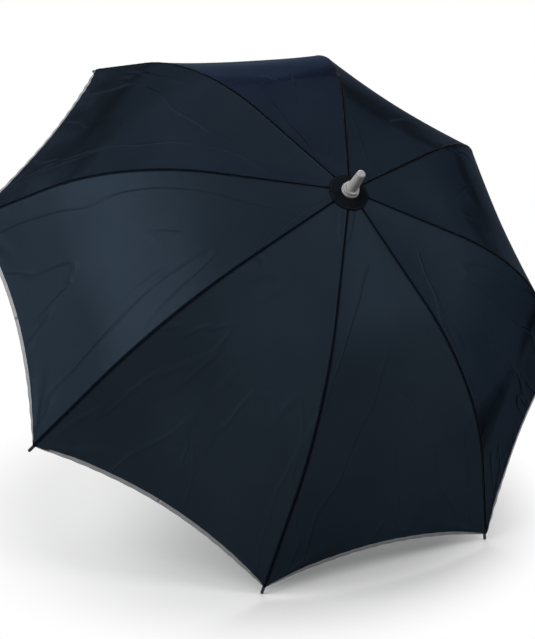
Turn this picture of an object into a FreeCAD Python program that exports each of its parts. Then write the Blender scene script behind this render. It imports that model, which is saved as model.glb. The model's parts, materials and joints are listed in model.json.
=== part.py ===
import FreeCAD, Part
import os
import re
import Sketcher
from FreeCAD import Matrix, Placement, Rotation, Vector
from math import acos, atan2, cos, degrees, hypot, radians, sin

# A stick umbrella that opens by a spring, lying open on the floor on two rib tips and the end of
# its handle. Each piece is drawn round the shaft axis, +Z towards the ferrule, with the plane of
# the rib pivots at height 0, and is then laid down by LYING. Lengths in mm, angles in degrees.

doc = FreeCAD.newDocument("Umbrella")

SIZES = {
    "rib_count": 8,
    # ribs: a straight root, a bow and a straight end, as the centre line of a channel
    "rib_root": 176, "rib_bow": 269, "rib_end": 140, "rib_slope": 11, "rib_turn": 41.5,
    "rib_width": 3.2, "rib_height": 2.6, "rib_wall": 0.5, "closing_angle": 58,
    # eyes and wires of the two crowns
    "pivot_radius": 12.5, "wire_radius": 0.6, "eye_radius": 2.2, "eye_thickness": 1.6,
    "eye_hole": 0.76, "eye_reach": 5, "eye_tongue": 6,
    "crown_radius": 14.8, "crown_half": 4, "crown_core": 9.5, "slot_clearance": 0.3,
    "groove_floor": 11.7, "groove_half": 0.7,
    # lug that hangs each stretcher from its rib
    "joint_reach": 254.5, "joint_drop": 5, "clip_length": 9, "clip_wall": 0.6, "clip_clearance": 0.15,
    "lug_thickness": 2.4, "lug_radius": 2.2, "rivet_radius": 0.7, "rivet_clearance": 0.08,
    "rivet_head_radius": 1.4, "rivet_head": 0.5, "rivet_gap": 0.15,
    # stretchers
    "stretcher_width": 5, "stretcher_height": 4, "stretcher_wall": 0.6, "fork_reach": 1.8,
    "fork_clear": 3.2,
    # rib tips
    "tip_radius": 2.4, "tip_length": 14.4, "tip_socket": 6, "socket_clearance": 0.06,
    # canopy
    "canopy_gap": 2.9, "canopy_thickness": 0.8, "canopy_start": 20, "canopy_overhang": 1,
    "hem_rise": 26, "panel_gap": 0.3,
    # shaft
    "tube_radius": 7, "tube_wall": 1, "tube_top": 22, "tube_in_grip": 99, "press_gap": 0.04,
    # runner and opening spring
    "runner_gap": 0.15, "sleeve_radius": 9.2, "sleeve_length": 100, "pin_drop": 34,
    "pin_radius": 1.2, "pin_gap": 0.06, "slot_gap": 0.4, "slot_margin": 3, "pusher_gap": 0.2,
    "pusher_half": 8, "stop_radius": 1.25, "stop_length": 18, "stop_gap": 0.2,
    "seat_in_grip": 24, "seat_height": 8, "spring_radius": 4.4, "spring_wire": 0.6,
    "spring_turns": 44, "spring_gap": 0.3,
    # rosette, ferrule collar and ferrule
    "cap_gap": 0.2, "rosette_radius": 30, "rosette_flat": 15.2, "rosette_fall": 3.4,
    "rosette_thickness": 0.9, "collar_radius": 13, "collar_height": 8, "collar_groove": 1.2,
    "collar_step": 1.4, "ferrule_length": 36, "ferrule_foot": 8.25, "ferrule_top": 6.15,
    "ferrule_round": 2, "ferrule_ring": 1.2, "ferrule_ring_depth": 0.35,
    # handle and release button
    "handle_start": 606, "handle_collar_height": 10, "handle_collar_top": 9.5,
    "handle_collar_foot": 13.5, "grip_length": 132.3, "grip_radius": 14.5, "grip_round": 0.75,
    "grip_groove_drop": 30, "grip_groove_width": 2, "grip_groove_depth": 0.8,
    "end_cap_height": 10, "end_round": 6, "spigot_radius": 8, "spigot_length": 6,
    "spigot_gap": 0.1, "bore_clear": 1,
    "button_in_grip": 16, "button_radius": 5, "button_gap": 0.3, "button_proud": 1.7,
    "button_seat": 10.6, "nose_radius": 1.8, "nose_gap": 0.4, "nose_end": 6.2,
    "button_travel": 1.5, "button_round": 0.8, "button_spring_radius": 3,
    "button_spring_wire": 0.35, "button_spring_turns": 3, "button_spring_gap": 0.25,
}

sheet = doc.addObject("Spreadsheet::Sheet", "Sizes")
for row, (name, number) in enumerate(SIZES.items(), start=1):
    sheet.set(f"A{row}", name)
    sheet.set(f"B{row}", str(number))
    sheet.setAlias(f"B{row}", name)
doc.recompute()

# Lengths that follow from the driving ones. In the frame of a rib, the origin is its pivot and
# +X runs along its root, so the joint with the stretcher and the rib's end lie at:
BOW_RADIUS = "(rib_bow * 180 / (pi * rib_turn))"
JOINT_TURN = "((joint_reach - rib_root) * rib_turn / rib_bow)"
ON_RIB_X = f"(rib_root + {BOW_RADIUS} * sin({JOINT_TURN}))"
ON_RIB_Z = f"({BOW_RADIUS} * (cos({JOINT_TURN}) - 1))"
JOINT_X = f"({ON_RIB_X} - joint_drop * sin({JOINT_TURN}))"
JOINT_Z = f"({ON_RIB_Z} - joint_drop * cos({JOINT_TURN}))"
END_X = f"(rib_root + {BOW_RADIUS} * sin(rib_turn) + rib_end * cos(rib_turn))"
END_Z = f"({BOW_RADIUS} * (cos(rib_turn) - 1) - rib_end * sin(rib_turn))"
# A stretcher is as long as its joint is far from the rib's pivot, so that the runner stays square.
STRETCHER = f"sqrt({JOINT_X}^2 + {JOINT_Z}^2)"
RUNNER_DROP = f"(2 * ({JOINT_X} * sin(rib_slope) - {JOINT_Z} * cos(rib_slope)))"
CLOSED_LEAN = f"(closing_angle + asin({RUNNER_DROP} / (2 * {STRETCHER})) / 1deg)"
STOP_HEIGHT = f"(crown_half + stop_gap + stop_radius - {RUNNER_DROP})"
PUSHER_FOOT = f"({RUNNER_DROP} + pin_drop + pusher_half)"
ROSETTE_TOP = "(crown_half + cap_gap + rosette_thickness)"
COLLAR_FOOT = f"({ROSETTE_TOP} + cap_gap)"
FERRULE_FOOT = f"({COLLAR_FOOT} + collar_height)"
GRIP_TOP = "(handle_start + handle_collar_height)"
GRIP_FOOT = f"({GRIP_TOP} + grip_length)"
HANDLE_END = f"({GRIP_FOOT} + end_cap_height)"
TUBE_BOTTOM = f"({GRIP_TOP} + tube_in_grip)"
SEAT_DROP = f"({GRIP_TOP} + seat_in_grip)"
GROOVE_TOP = f"({GRIP_TOP} + grip_groove_drop)"
GROOVE_FOOT = f"({GROOVE_TOP} + grip_groove_width)"
BUTTON_DROP = f"({GRIP_TOP} + button_in_grip)"
TUBE_BORE = "(tube_radius - tube_wall)"
PRESS_BORE = "(tube_radius + press_gap)"


def bound(formula):
    """A formula whose names of sizes point at the sheet's cells."""
    return re.sub(r"[a-z]+(_[a-z]+)+", lambda name: "Sizes." + name.group(), formula)


def value(formula):
    """The number that a formula gives with the sheet's sizes."""
    return float(sheet.evalExpression(bound(formula)))


def bind(thing, **formulas):
    """Binds properties to formulas. Two underscores in a name stand for a dot."""
    for name, formula in formulas.items():
        thing.setExpression(name.replace("__", "."), bound(formula))
    return thing


# ---------------------------------------------------------------- where things stand

def azimuth(number):
    """Direction of a rib, numbered so that the two in the middle of the row lie lowest."""
    count = round(value("rib_count"))
    return -90 + (number - 0.5 - count // 2) * 360 / count


def lying_tilt():
    """How far the shaft leans from upright when two rib tips and the handle's edge touch."""
    slope = radians(value("rib_slope"))
    reach = value(f"{END_X} + (tip_length - tip_radius) * cos(rib_turn)")
    fall = value(f"{END_Z} - (tip_length - tip_radius) * sin(rib_turn)")
    tip_out = value("pivot_radius") + reach * cos(slope) + fall * sin(slope)
    tip_up = fall * cos(slope) - reach * sin(slope)
    edge_out = value("grip_radius - end_round")
    edge_up = value(f"end_round - {HANDLE_END}")
    across = edge_out - tip_out * cos(radians(180 / value("rib_count")))
    along = tip_up - edge_up
    contact = value("tip_radius - end_round")
    return degrees(atan2(across, along) + acos(contact / hypot(across, along)))


def lying_height(tilt):
    """Height of the origin over the floor, from the handle's rounded edge that touches it."""
    lean = radians(tilt)
    edge_out = value("grip_radius - end_round")
    edge_up = value(f"end_round - {HANDLE_END}")
    return edge_out * sin(lean) - edge_up * cos(lean) + value("end_round")


TILT = lying_tilt()
LYING = Placement(Vector(0, 0, lying_height(TILT)), Rotation(Vector(1, 0, 0), TILT))


def turned(axis, angle):
    return Placement(Vector(), Rotation(axis, angle))


def moved(x, y, z):
    return Placement(Vector(x, y, z), Rotation())


X, Y, Z = Vector(1, 0, 0), Vector(0, 1, 0), Vector(0, 0, 1)


def around(number):
    """The umbrella's frame turned to a rib's azimuth."""
    return turned(Z, azimuth(number))


def rib_frame(number):
    return around(number) * moved(value("pivot_radius"), 0, 0) * turned(Y, value("rib_slope"))


def joint_frame(number):
    """Rib's centre line over the stretcher joint, +X along the rib."""
    on_rib = moved(value(ON_RIB_X), 0, value(ON_RIB_Z))
    return rib_frame(number) * on_rib * turned(Y, value(JOINT_TURN))


def stretcher_frame(number):
    """Stretcher joint, +X down the stretcher to the runner."""
    joint = moved(value(JOINT_X), 0, value(JOINT_Z))
    lean = value("rib_slope") + degrees(atan2(-value(JOINT_Z), value(JOINT_X)))
    upright = turned(Y, -value("rib_slope"))
    return rib_frame(number) * joint * upright * turned(Z, 180) * turned(Y, lean)


def tip_frame(number):
    """End of the rib, +Z along it."""
    end = moved(value(END_X), 0, value(END_Z))
    return rib_frame(number) * end * turned(Y, value("rib_turn") + 90)


def runner_frame():
    return moved(0, 0, -value(RUNNER_DROP))


# ---------------------------------------------------------------- how pieces are drawn

parts = {}


def keep(thing, label, frame):
    """Names a finished sub-part and notes the frame that it stands in."""
    thing.Label = label
    parts[label] = (thing, frame)
    return thing


def body_of(label, frame):
    return keep(doc.addObject("PartDesign::Body", label), label, frame)


def sketch_on(body, role, lift=None, turn=None):
    """A sketch on one of the body's own origin planes, lifted off it or turned on it."""
    sketch = body.newObject("Sketcher::SketchObject", "Sketch")
    plane = [item for item in body.Origin.OriginFeatures if item.Role == role][0]
    sketch.AttachmentSupport = [(plane, "")]
    sketch.MapMode = "FlatFace"
    if lift:
        bind(sketch, AttachmentOffset__Base__z=lift)
    if turn:
        bind(sketch, AttachmentOffset__Rotation__Angle=turn)
    return sketch


def pin_point(sketch, edge, end, formulas):
    """Holds one end of an edge at the coordinates that two formulas give."""
    for kind, axis, formula in zip(("DistanceX", "DistanceY"), (-2, -1), formulas):
        if formula == "0":
            sketch.addConstraint(Sketcher.Constraint("PointOnObject", edge, end, axis))
            continue
        held = Sketcher.Constraint(kind, -1, 1, edge, end, value(formula))
        number = sketch.addConstraint(held)
        sketch.setExpression(f"Constraints[{number}]", bound(formula))


def outline(sketch, corners):
    """A closed outline of straight edges with its corners at pairs of formulas."""
    spots = [Vector(value(across), value(up), 0) for across, up in corners]
    count = len(spots)
    for number, spot in enumerate(spots):
        sketch.addGeometry(Part.LineSegment(spot, spots[(number + 1) % count]), False)
    for number, corner in enumerate(corners):
        following = (number + 1) % count
        sketch.addConstraint(Sketcher.Constraint("Coincident", number, 2, following, 1))
        pin_point(sketch, number, 1, corner)
    return sketch


def ring(sketch, centre, radius):
    """A circle with its centre and radius at formulas."""
    spot = Vector(value(centre[0]), value(centre[1]), 0)
    circle = sketch.addGeometry(Part.Circle(spot, Z, value(radius)), False)
    pin_point(sketch, circle, 3, centre)
    number = sketch.addConstraint(Sketcher.Constraint("Radius", circle, value(radius)))
    sketch.setExpression(f"Constraints[{number}]", bound(radius))
    return sketch


def turn_solid(body, corners):
    """A solid of revolution about Z from an outline of (radius, height)."""
    sketch = outline(sketch_on(body, "XZ_Plane"), corners)
    solid = body.newObject("PartDesign::Revolution", "Turned")
    solid.Profile = sketch
    solid.ReferenceAxis = (sketch, ["V_Axis"])
    solid.Angle = 360
    return solid


def pad(body, sketch, length, midplane=True):
    solid = body.newObject("PartDesign::Pad", "Pad")
    solid.Profile = sketch
    if midplane:
        solid.SideType = "Symmetric"
    return bind(solid, Length=length)


def cut_through(body, sketch):
    """A pocket through the whole body, both ways from its sketch."""
    pocket = body.newObject("PartDesign::Pocket", "Through")
    pocket.Profile = sketch
    pocket.SideType = "Symmetric"
    pocket.Type = "ThroughAll"
    return pocket


def cut_one_side(body, sketch, depth):
    """A blind pocket from a sketch on the XZ plane towards +Y."""
    pocket = body.newObject("PartDesign::Pocket", "OneSide")
    pocket.Profile = sketch
    bind(pocket, Length=depth)
    return pocket


def round_rims(body, rims, radius):
    """Fillets the circular edges that lie at the given (radius, height) pairs."""
    doc.recompute()
    base = body.Tip
    wanted = [(value(out), value(up)) for out, up in rims]
    names = []
    for number, edge in enumerate(base.Shape.Edges, start=1):
        if not isinstance(edge.Curve, Part.Circle):
            continue
        found = (edge.Curve.Radius, edge.Curve.Center.z)
        if any(hypot(found[0] - out, found[1] - up) < 0.01 for out, up in wanted):
            names.append(f"Edge{number}")
    fillet = body.newObject("PartDesign::Fillet", "Rounded")
    fillet.Base = (base, names)
    bind(fillet, Radius=radius)
    return fillet


def primitive(kind, at=(0, 0, 0), axis="Z", **sizes):
    """A bound Part primitive with its base at three formulas and its own axis along X, Y or Z."""
    thing = bind(doc.addObject("Part::" + kind, kind), **sizes)
    rotation = {"X": Rotation(Y, 90), "Y": Rotation(X, -90), "Z": Rotation()}[axis]
    thing.Placement = Placement(Vector(), rotation)
    for name, formula in zip(("x", "y", "z"), at):
        if formula:
            thing.setExpression("Placement.Base." + name, bound(formula))
    return thing


def box(length, width, height, at):
    """A block centred on Y, with its low corner in X and Z at formulas."""
    low = (at[0], f"-({width}) / 2", at[1])
    return primitive("Box", low, Length=length, Width=width, Height=height)


def fused(*things):
    joined = doc.addObject("Part::MultiFuse", "Joined")
    joined.Shapes = list(things)
    return joined


def cut(base, *tools):
    for tool in tools:
        result = doc.addObject("Part::Cut", "Cut")
        result.Base = base
        result.Tool = tool
        base = result
    return base


def coil(label, frame, radius, wire, height, turns):
    """A helical spring standing on the frame's XY plane."""
    helix = doc.addObject("Part::Helix", "Helix")
    bind(helix, Pitch=f"({height}) / {turns}", Height=height, Radius=radius)
    helix.SegmentLength = 0
    section = primitive("Circle", (radius, 0, 0), Radius=wire)
    section.Placement = Placement(section.Placement.Base, Rotation(X, 90))
    spring = doc.addObject("Part::Sweep", "Coil")
    spring.Sections = [section]
    spring.Spine = (helix, ["Edge1"])
    spring.Solid = True
    spring.Frenet = True
    return keep(spring, label, frame)


# ---------------------------------------------------------------- crowns and their wires

def crown_outline(bore, foot):
    """Half section of a crown: a hub with a wire groove round its rim. Foot: corners below."""
    return foot + [
        ("crown_radius", "-crown_half"), ("crown_radius", "-groove_half"),
        ("groove_floor", "-groove_half"), ("groove_floor", "groove_half"),
        ("crown_radius", "groove_half"), ("crown_radius", "crown_half"), (bore, "crown_half"),
    ]


def cut_crown_slots(body):
    """One slot for each eye, open to the rim and to both faces of the crown."""
    half_slot = "(eye_thickness / 2 + slot_clearance)"
    sketch = sketch_on(body, "XY_Plane", turn="180 / rib_count")
    outline(sketch, [
        ("crown_core", f"-{half_slot}"), ("2 * crown_radius", f"-{half_slot}"),
        ("2 * crown_radius", half_slot), ("crown_core", half_slot),
    ])
    slot = cut_through(body, sketch)
    slot.Type = "Length"
    bind(slot, Length="4 * crown_half")
    pattern = body.newObject("PartDesign::PolarPattern", "Slots")
    pattern.Originals = [slot]
    upright = [item for item in body.Origin.OriginFeatures if item.Role == "Z_Axis"][0]
    pattern.Axis = (upright, [""])
    pattern.Angle = 360
    bind(pattern, Occurrences="rib_count")
    body.Tip = pattern


def top_notch():
    body = body_of("top_notch", moved(0, 0, 0))
    turn_solid(body, crown_outline(PRESS_BORE, [(PRESS_BORE, "-crown_half")]))
    cut_crown_slots(body)


def runner():
    body = body_of("runner", runner_frame())
    bore = "(tube_radius + runner_gap)"
    sleeve = [(bore, "-sleeve_length"), ("sleeve_radius", "-sleeve_length"),
              ("sleeve_radius", "-crown_half")]
    turn_solid(body, crown_outline(bore, sleeve))
    hole = ring(sketch_on(body, "YZ_Plane"), ("0", "-pin_drop"), "pin_radius + pin_gap")
    cut_through(body, hole)
    cut_crown_slots(body)


def wires():
    for label, frame in (("notch_wire", moved(0, 0, 0)), ("runner_wire", runner_frame())):
        wire = primitive("Torus", Radius1="pivot_radius", Radius2="wire_radius")
        keep(wire, label, frame)


# ---------------------------------------------------------------- ribs, joints and stretchers

def channel(sketch, width, height, wall, web):
    """Outline of a U section centred on the sketch's origin. Web: 1 above, -1 below."""
    out, in_ = f"{width} / 2", f"({width} / 2 - {wall})"
    closed, open_ = f"{web} * {height} / 2", f"{-web} * {height} / 2"
    floor = f"{web} * ({height} / 2 - {wall})"
    return outline(sketch, [
        (f"-{out}", open_), (f"-{out}", closed), (out, closed), (out, open_),
        (in_, open_), (in_, floor), (f"-{in_}", floor), (f"-{in_}", open_),
    ])


def add_eye(body, centre, tongue_end, height):
    """A flat eye round the wire, on a tongue that runs into the channel."""
    tongue = outline(sketch_on(body, "XZ_Plane"), [
        (centre, f"-{height} / 2"), (tongue_end, f"-{height} / 2"),
        (tongue_end, f"{height} / 2"), (centre, f"{height} / 2"),
    ])
    pad(body, tongue, "eye_thickness")
    disc = ring(sketch_on(body, "XZ_Plane"), (centre, "0"), "eye_radius")
    pad(body, disc, "eye_thickness")
    hole = ring(sketch_on(body, "XZ_Plane"), (centre, "0"), "eye_hole")
    cut_through(body, hole)


def rib_path(body):
    """Centre line of a rib in its own plane: root, bow and end, each tangent to the next."""
    sketch = sketch_on(body, "XZ_Plane")
    turn, bow_radius = value("rib_turn"), value(BOW_RADIUS)
    root_end = Vector(value("rib_root"), 0, 0)
    middle = root_end + Vector(0, -bow_radius, 0)
    bow = Part.ArcOfCircle(Part.Circle(middle, Z, bow_radius), radians(90 - turn), radians(90))
    bow_end = bow.StartPoint
    rib_end = Vector(value(END_X), value(END_Z), 0)
    sketch.addGeometry(Part.LineSegment(Vector(value("eye_reach"), 0, 0), root_end), False)
    sketch.addGeometry(bow, False)
    sketch.addGeometry(Part.LineSegment(bow_end, rib_end), False)
    pin_point(sketch, 0, 1, ("eye_reach", "0"))
    pin_point(sketch, 0, 2, ("rib_root", "0"))
    sketch.addConstraint(Sketcher.Constraint("Tangent", 0, 2, 1, 2))
    sketch.addConstraint(Sketcher.Constraint("Tangent", 1, 1, 2, 1))
    radius = sketch.addConstraint(Sketcher.Constraint("Radius", 1, bow_radius))
    sketch.setExpression(f"Constraints[{radius}]", bound(BOW_RADIUS))
    pin_point(sketch, 2, 2, (END_X, END_Z))
    return sketch


def rib(number):
    body = body_of(f"rib_{number}", rib_frame(number))
    path = rib_path(body)
    section = sketch_on(body, "YZ_Plane", lift="eye_reach")
    channel(section, "rib_width", "rib_height", "rib_wall", web=1)
    doc.recompute()
    pipe = body.newObject("PartDesign::AdditivePipe", "Channel")
    pipe.Profile = section
    pipe.Spine = (path, ["Edge1", "Edge2", "Edge3"])
    add_eye(body, "0", "(eye_reach + eye_tongue)", "rib_height")


def rib_joint(number):
    """The clip that carries a stretcher's lug, and the rivet that pins the stretcher to it."""
    outer_width = "(rib_width + 2 * clip_clearance + 2 * clip_wall)"
    outer_height = "(rib_height + 2 * clip_clearance + 2 * clip_wall)"
    saddle = box("clip_length", outer_width, outer_height,
                 ("-clip_length / 2", f"-{outer_height} / 2"))
    inner_height = "(rib_height + 2 * clip_clearance)"
    passage = box("2 * clip_length", "rib_width + 2 * clip_clearance", inner_height,
                  ("-clip_length", f"-{inner_height} / 2"))
    neck = box("2 * lug_radius", "lug_thickness", "joint_drop - rib_height / 2 - clip_clearance",
               ("-lug_radius", "-joint_drop"))
    disc = primitive("Cylinder", (0, "-lug_thickness / 2", "-joint_drop"), "Y",
                     Radius="lug_radius", Height="lug_thickness")
    hole = primitive("Cylinder", (0, "-lug_thickness", "-joint_drop"), "Y",
                     Radius="rivet_radius + rivet_clearance", Height="2 * lug_thickness")
    clip = cut(fused(saddle, neck, disc), passage, hole)
    head_in = "(stretcher_width / 2 + rivet_gap)"
    shank = primitive("Cylinder", (0, f"-{head_in}", "-joint_drop"), "Y",
                      Radius="rivet_radius", Height=f"2 * {head_in}")
    heads = [primitive("Cylinder", (0, low, "-joint_drop"), "Y",
                       Radius="rivet_head_radius", Height="rivet_head")
             for low in (head_in, f"-{head_in} - rivet_head")]
    rivet = fused(shank, *heads)
    pair = doc.addObject("Part::Compound", "Pair")
    pair.Links = [clip, rivet]
    keep(pair, f"rib_joint_{number}", joint_frame(number))


def stretcher(number):
    body = body_of(f"stretcher_{number}", stretcher_frame(number))
    section = sketch_on(body, "YZ_Plane", lift="-fork_reach")
    channel(section, "stretcher_width", "stretcher_height", "stretcher_wall", web=-1)
    pad(body, section, f"{STRETCHER} - eye_reach + fork_reach", midplane=False)
    # the web ends short of the lug, so that two cheeks hold the rivet
    clear = outline(sketch_on(body, "XZ_Plane"), [
        ("-2 * fork_reach", "-stretcher_height"), ("fork_clear", "-stretcher_height"),
        ("fork_clear", "stretcher_height"), ("-2 * fork_reach", "stretcher_height"),
    ])
    fork = cut_through(body, clear)
    fork.Type = "Length"
    bind(fork, Length="stretcher_width - 2 * stretcher_wall")
    rivet_hole = ring(sketch_on(body, "XZ_Plane"), ("0", "0"), "rivet_radius + rivet_clearance")
    cut_through(body, rivet_hole)
    tongue_end = f"({STRETCHER} - eye_reach - eye_tongue)"
    add_eye(body, STRETCHER, tongue_end, "stretcher_height")


def rib_tip(number):
    """A round cap with a ball end, pushed on the rib's square end."""
    straight = primitive("Cylinder", (0, 0, "-tip_socket"), Radius="tip_radius",
                         Height="tip_socket + tip_length - tip_radius")
    ball = primitive("Sphere", (0, 0, "tip_length - tip_radius"), Radius="tip_radius")
    wide, high = "(rib_width + 2 * socket_clearance)", "(rib_height + 2 * socket_clearance)"
    socket = box(high, wide, "2 * tip_socket + socket_clearance",
                 (f"-{high} / 2", "-2 * tip_socket"))
    keep(cut(fused(straight, ball), socket), f"rib_tip_{number}", tip_frame(number))


# ---------------------------------------------------------------- canopy

def canopy_curve(lift, stop):
    """Root, bow and end of a line that keeps a distance from the rib's centre line.

    It lies in the plane through the shaft and the rib, starts at the hub and stops a given
    length along the rib."""
    slope, turn = radians(value("rib_slope")), radians(value("rib_turn"))
    bow_radius = value(BOW_RADIUS)
    pivot = Vector(value("pivot_radius"), 0, 0)
    root_end = pivot + Vector(cos(slope), 0, -sin(slope)) * value("rib_root")
    middle = root_end - Vector(sin(slope), 0, cos(slope)) * bow_radius

    def on_bow(angle):
        return middle + Vector(sin(angle), 0, cos(angle)) * (bow_radius + lift)

    bow_start, bow_middle, bow_end = (on_bow(slope + turn * share) for share in (0, 0.5, 1))
    inner = (bow_start.x - value("canopy_start")) / cos(slope)
    start = bow_start - Vector(cos(slope), 0, -sin(slope)) * inner
    end_length = stop - value("rib_root + rib_bow")
    end = bow_end + Vector(cos(slope + turn), 0, -sin(slope + turn)) * end_length
    return [Part.makeLine(start, bow_start), Part.Arc(bow_start, bow_middle, bow_end).toShape(),
            Part.makeLine(bow_end, end)]


def canopy_section(across, side):
    """Closed section of a gore, across: 0 at the rib and 1 at the middle of the gore.

    Cloth is taut between two ribs, so a section is the one at the rib, drawn in towards the
    chord. The hem curves in by hem_rise between the ribs."""
    half_gore = radians(180 / value("rib_count"))
    stop = value("rib_root + rib_bow + rib_end + canopy_overhang")
    stop -= value("hem_rise") * across * (2 - across)
    lower = canopy_curve(value("canopy_gap"), stop)
    upper = canopy_curve(value("canopy_gap + canopy_thickness"), stop)
    ends = [Part.makeLine(lower[0].Vertexes[0].Point, upper[0].Vertexes[0].Point),
            Part.makeLine(lower[-1].Vertexes[-1].Point, upper[-1].Vertexes[-1].Point)]
    wire = Part.Wire(Part.__sortEdges__(lower + [ends[1]] + upper + [ends[0]]))
    draw_in = Matrix()
    draw_in.A11 = 1 - across * sin(half_gore) ** 2
    draw_in.A21 = side * across * sin(half_gore) * cos(half_gore)
    gap = Vector(sin(half_gore), -side * cos(half_gore), 0) * (across * value("panel_gap") / 2)
    return wire.transformGeometry(draw_in).translated(gap)


def canopy_panel(number):
    """The cloth from the middle of one gore, over a rib, to the middle of the next gore."""
    halves = []
    for side in (1, -1):
        sections = [canopy_section(across, side) for across in (0, 0.5, 1)]
        halves.append(Part.makeLoft(sections, True, True))
    cloth = doc.addObject("Part::Feature", "Cloth")
    cloth.Shape = halves[0].fuse(halves[1])
    keep(cloth, f"canopy_{number}", around(number))


# ---------------------------------------------------------------- shaft, stop and spring

def shaft_tube():
    body = body_of("shaft_tube", moved(0, 0, 0))
    turn_solid(body, [(TUBE_BORE, f"-{TUBE_BOTTOM}"), ("tube_radius", f"-{TUBE_BOTTOM}"),
                      ("tube_radius", "tube_top"), (TUBE_BORE, "tube_top")])
    # two slots for the cross pin, as long as the runner's travel
    half_slot = "(pin_radius + slot_gap)"
    slot_top = f"(slot_margin - {RUNNER_DROP} - pin_drop)"
    slot_foot = f"(-2 * {STRETCHER} * sin({CLOSED_LEAN}) - pin_drop - slot_margin)"
    slot = outline(sketch_on(body, "YZ_Plane"), [
        (f"-{half_slot}", slot_foot), (half_slot, slot_foot),
        (half_slot, slot_top), (f"-{half_slot}", slot_top),
    ])
    cut_through(body, slot)
    stop_hole = ring(sketch_on(body, "XZ_Plane"), ("0", STOP_HEIGHT), "stop_radius + press_gap")
    cut_through(body, stop_hole)
    nose_hole = ring(sketch_on(body, "XZ_Plane"), ("0", f"-{BUTTON_DROP}"), "nose_radius + nose_gap")
    cut_one_side(body, nose_hole, "2 * tube_radius")


def runner_stop():
    """A pin across the shaft, against which the open runner rests."""
    pin = primitive("Cylinder", Radius="stop_radius", Height="stop_length")
    start = moved(0, -value("stop_length / 2"), value(STOP_HEIGHT))
    keep(pin, "runner_stop", start * turned(X, -90))


def pusher():
    """The plug inside the shaft that the spring drives and the cross pin goes through."""
    plug = primitive("Cylinder", (0, 0, "-pin_drop - pusher_half"),
                     Radius=f"{TUBE_BORE} - pusher_gap", Height="2 * pusher_half")
    hole = primitive("Cylinder", ("-tube_radius", 0, "-pin_drop"), "X",
                     Radius="pin_radius + pin_gap", Height="2 * tube_radius")
    keep(cut(plug, hole), "pusher", runner_frame())


def cross_pin():
    pin = primitive("Cylinder", Radius="pin_radius", Height="2 * sleeve_radius")
    start = moved(-value("sleeve_radius"), 0, -value("pin_drop"))
    keep(pin, "cross_pin", runner_frame() * start * turned(Y, 90))


def spring_seat():
    seat = primitive("Cylinder", Radius=f"{TUBE_BORE} - press_gap", Height="seat_height")
    keep(seat, "spring_seat", moved(0, 0, -value(f"{SEAT_DROP} + seat_height")))


def opening_spring():
    foot = moved(0, 0, value(f"spring_wire + spring_gap - {SEAT_DROP}"))
    height = f"({SEAT_DROP} - {PUSHER_FOOT} - 2 * spring_wire - 2 * spring_gap)"
    coil("opening_spring", foot, "spring_radius", "spring_wire", height, "spring_turns")


# ---------------------------------------------------------------- rosette, collar and ferrule

def rosette():
    """A shallow cone of cloth-covered board that hides the middle of the canopy."""
    body = body_of("rosette", moved(0, 0, 0))
    foot = "(crown_half + cap_gap)"
    turn_solid(body, [(PRESS_BORE, foot), ("rosette_flat", foot),
                      ("rosette_radius", f"{foot} - rosette_fall"),
                      ("rosette_radius", f"{ROSETTE_TOP} - rosette_fall"),
                      ("rosette_flat", ROSETTE_TOP), (PRESS_BORE, ROSETTE_TOP)])


def ferrule_collar():
    """Two steps with a groove between them, under the foot of the ferrule."""
    body = body_of("ferrule_collar", moved(0, 0, 0))
    low = f"({COLLAR_FOOT} + collar_height / 2 - collar_groove / 2)"
    high = f"({COLLAR_FOOT} + collar_height / 2 + collar_groove / 2)"
    upper = "(collar_radius - collar_step)"
    turn_solid(body, [
        (PRESS_BORE, COLLAR_FOOT), ("collar_radius", COLLAR_FOOT), ("collar_radius", low),
        ("(collar_radius - 2 * collar_step)", low), ("(collar_radius - 2 * collar_step)", high),
        (upper, high), (upper, FERRULE_FOOT), (PRESS_BORE, FERRULE_FOOT),
    ])
    round_rims(body, [(upper, FERRULE_FOOT), ("collar_radius", low)], "collar_step / 2")


def ferrule():
    body = body_of("ferrule", moved(0, 0, 0))
    ring_top = f"({FERRULE_FOOT} + ferrule_ring)"
    top = f"({FERRULE_FOOT} + ferrule_length)"
    bore_top = "(tube_top + bore_clear)"
    inset = "(ferrule_foot - ferrule_ring_depth)"
    turn_solid(body, [
        (PRESS_BORE, FERRULE_FOOT), (inset, FERRULE_FOOT), (inset, ring_top),
        ("ferrule_foot", ring_top), ("ferrule_top", top), ("0", top), ("0", bore_top),
        (PRESS_BORE, bore_top),
    ])
    round_rims(body, [("ferrule_top", top)], "ferrule_round")


# ---------------------------------------------------------------- handle and button

def handle_collar():
    body = body_of("handle_collar", moved(0, 0, 0))
    turn_solid(body, [
        (PRESS_BORE, f"-{GRIP_TOP}"), ("handle_collar_foot", f"-{GRIP_TOP}"),
        ("handle_collar_top", "-handle_start"), (PRESS_BORE, "-handle_start"),
    ])


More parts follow.
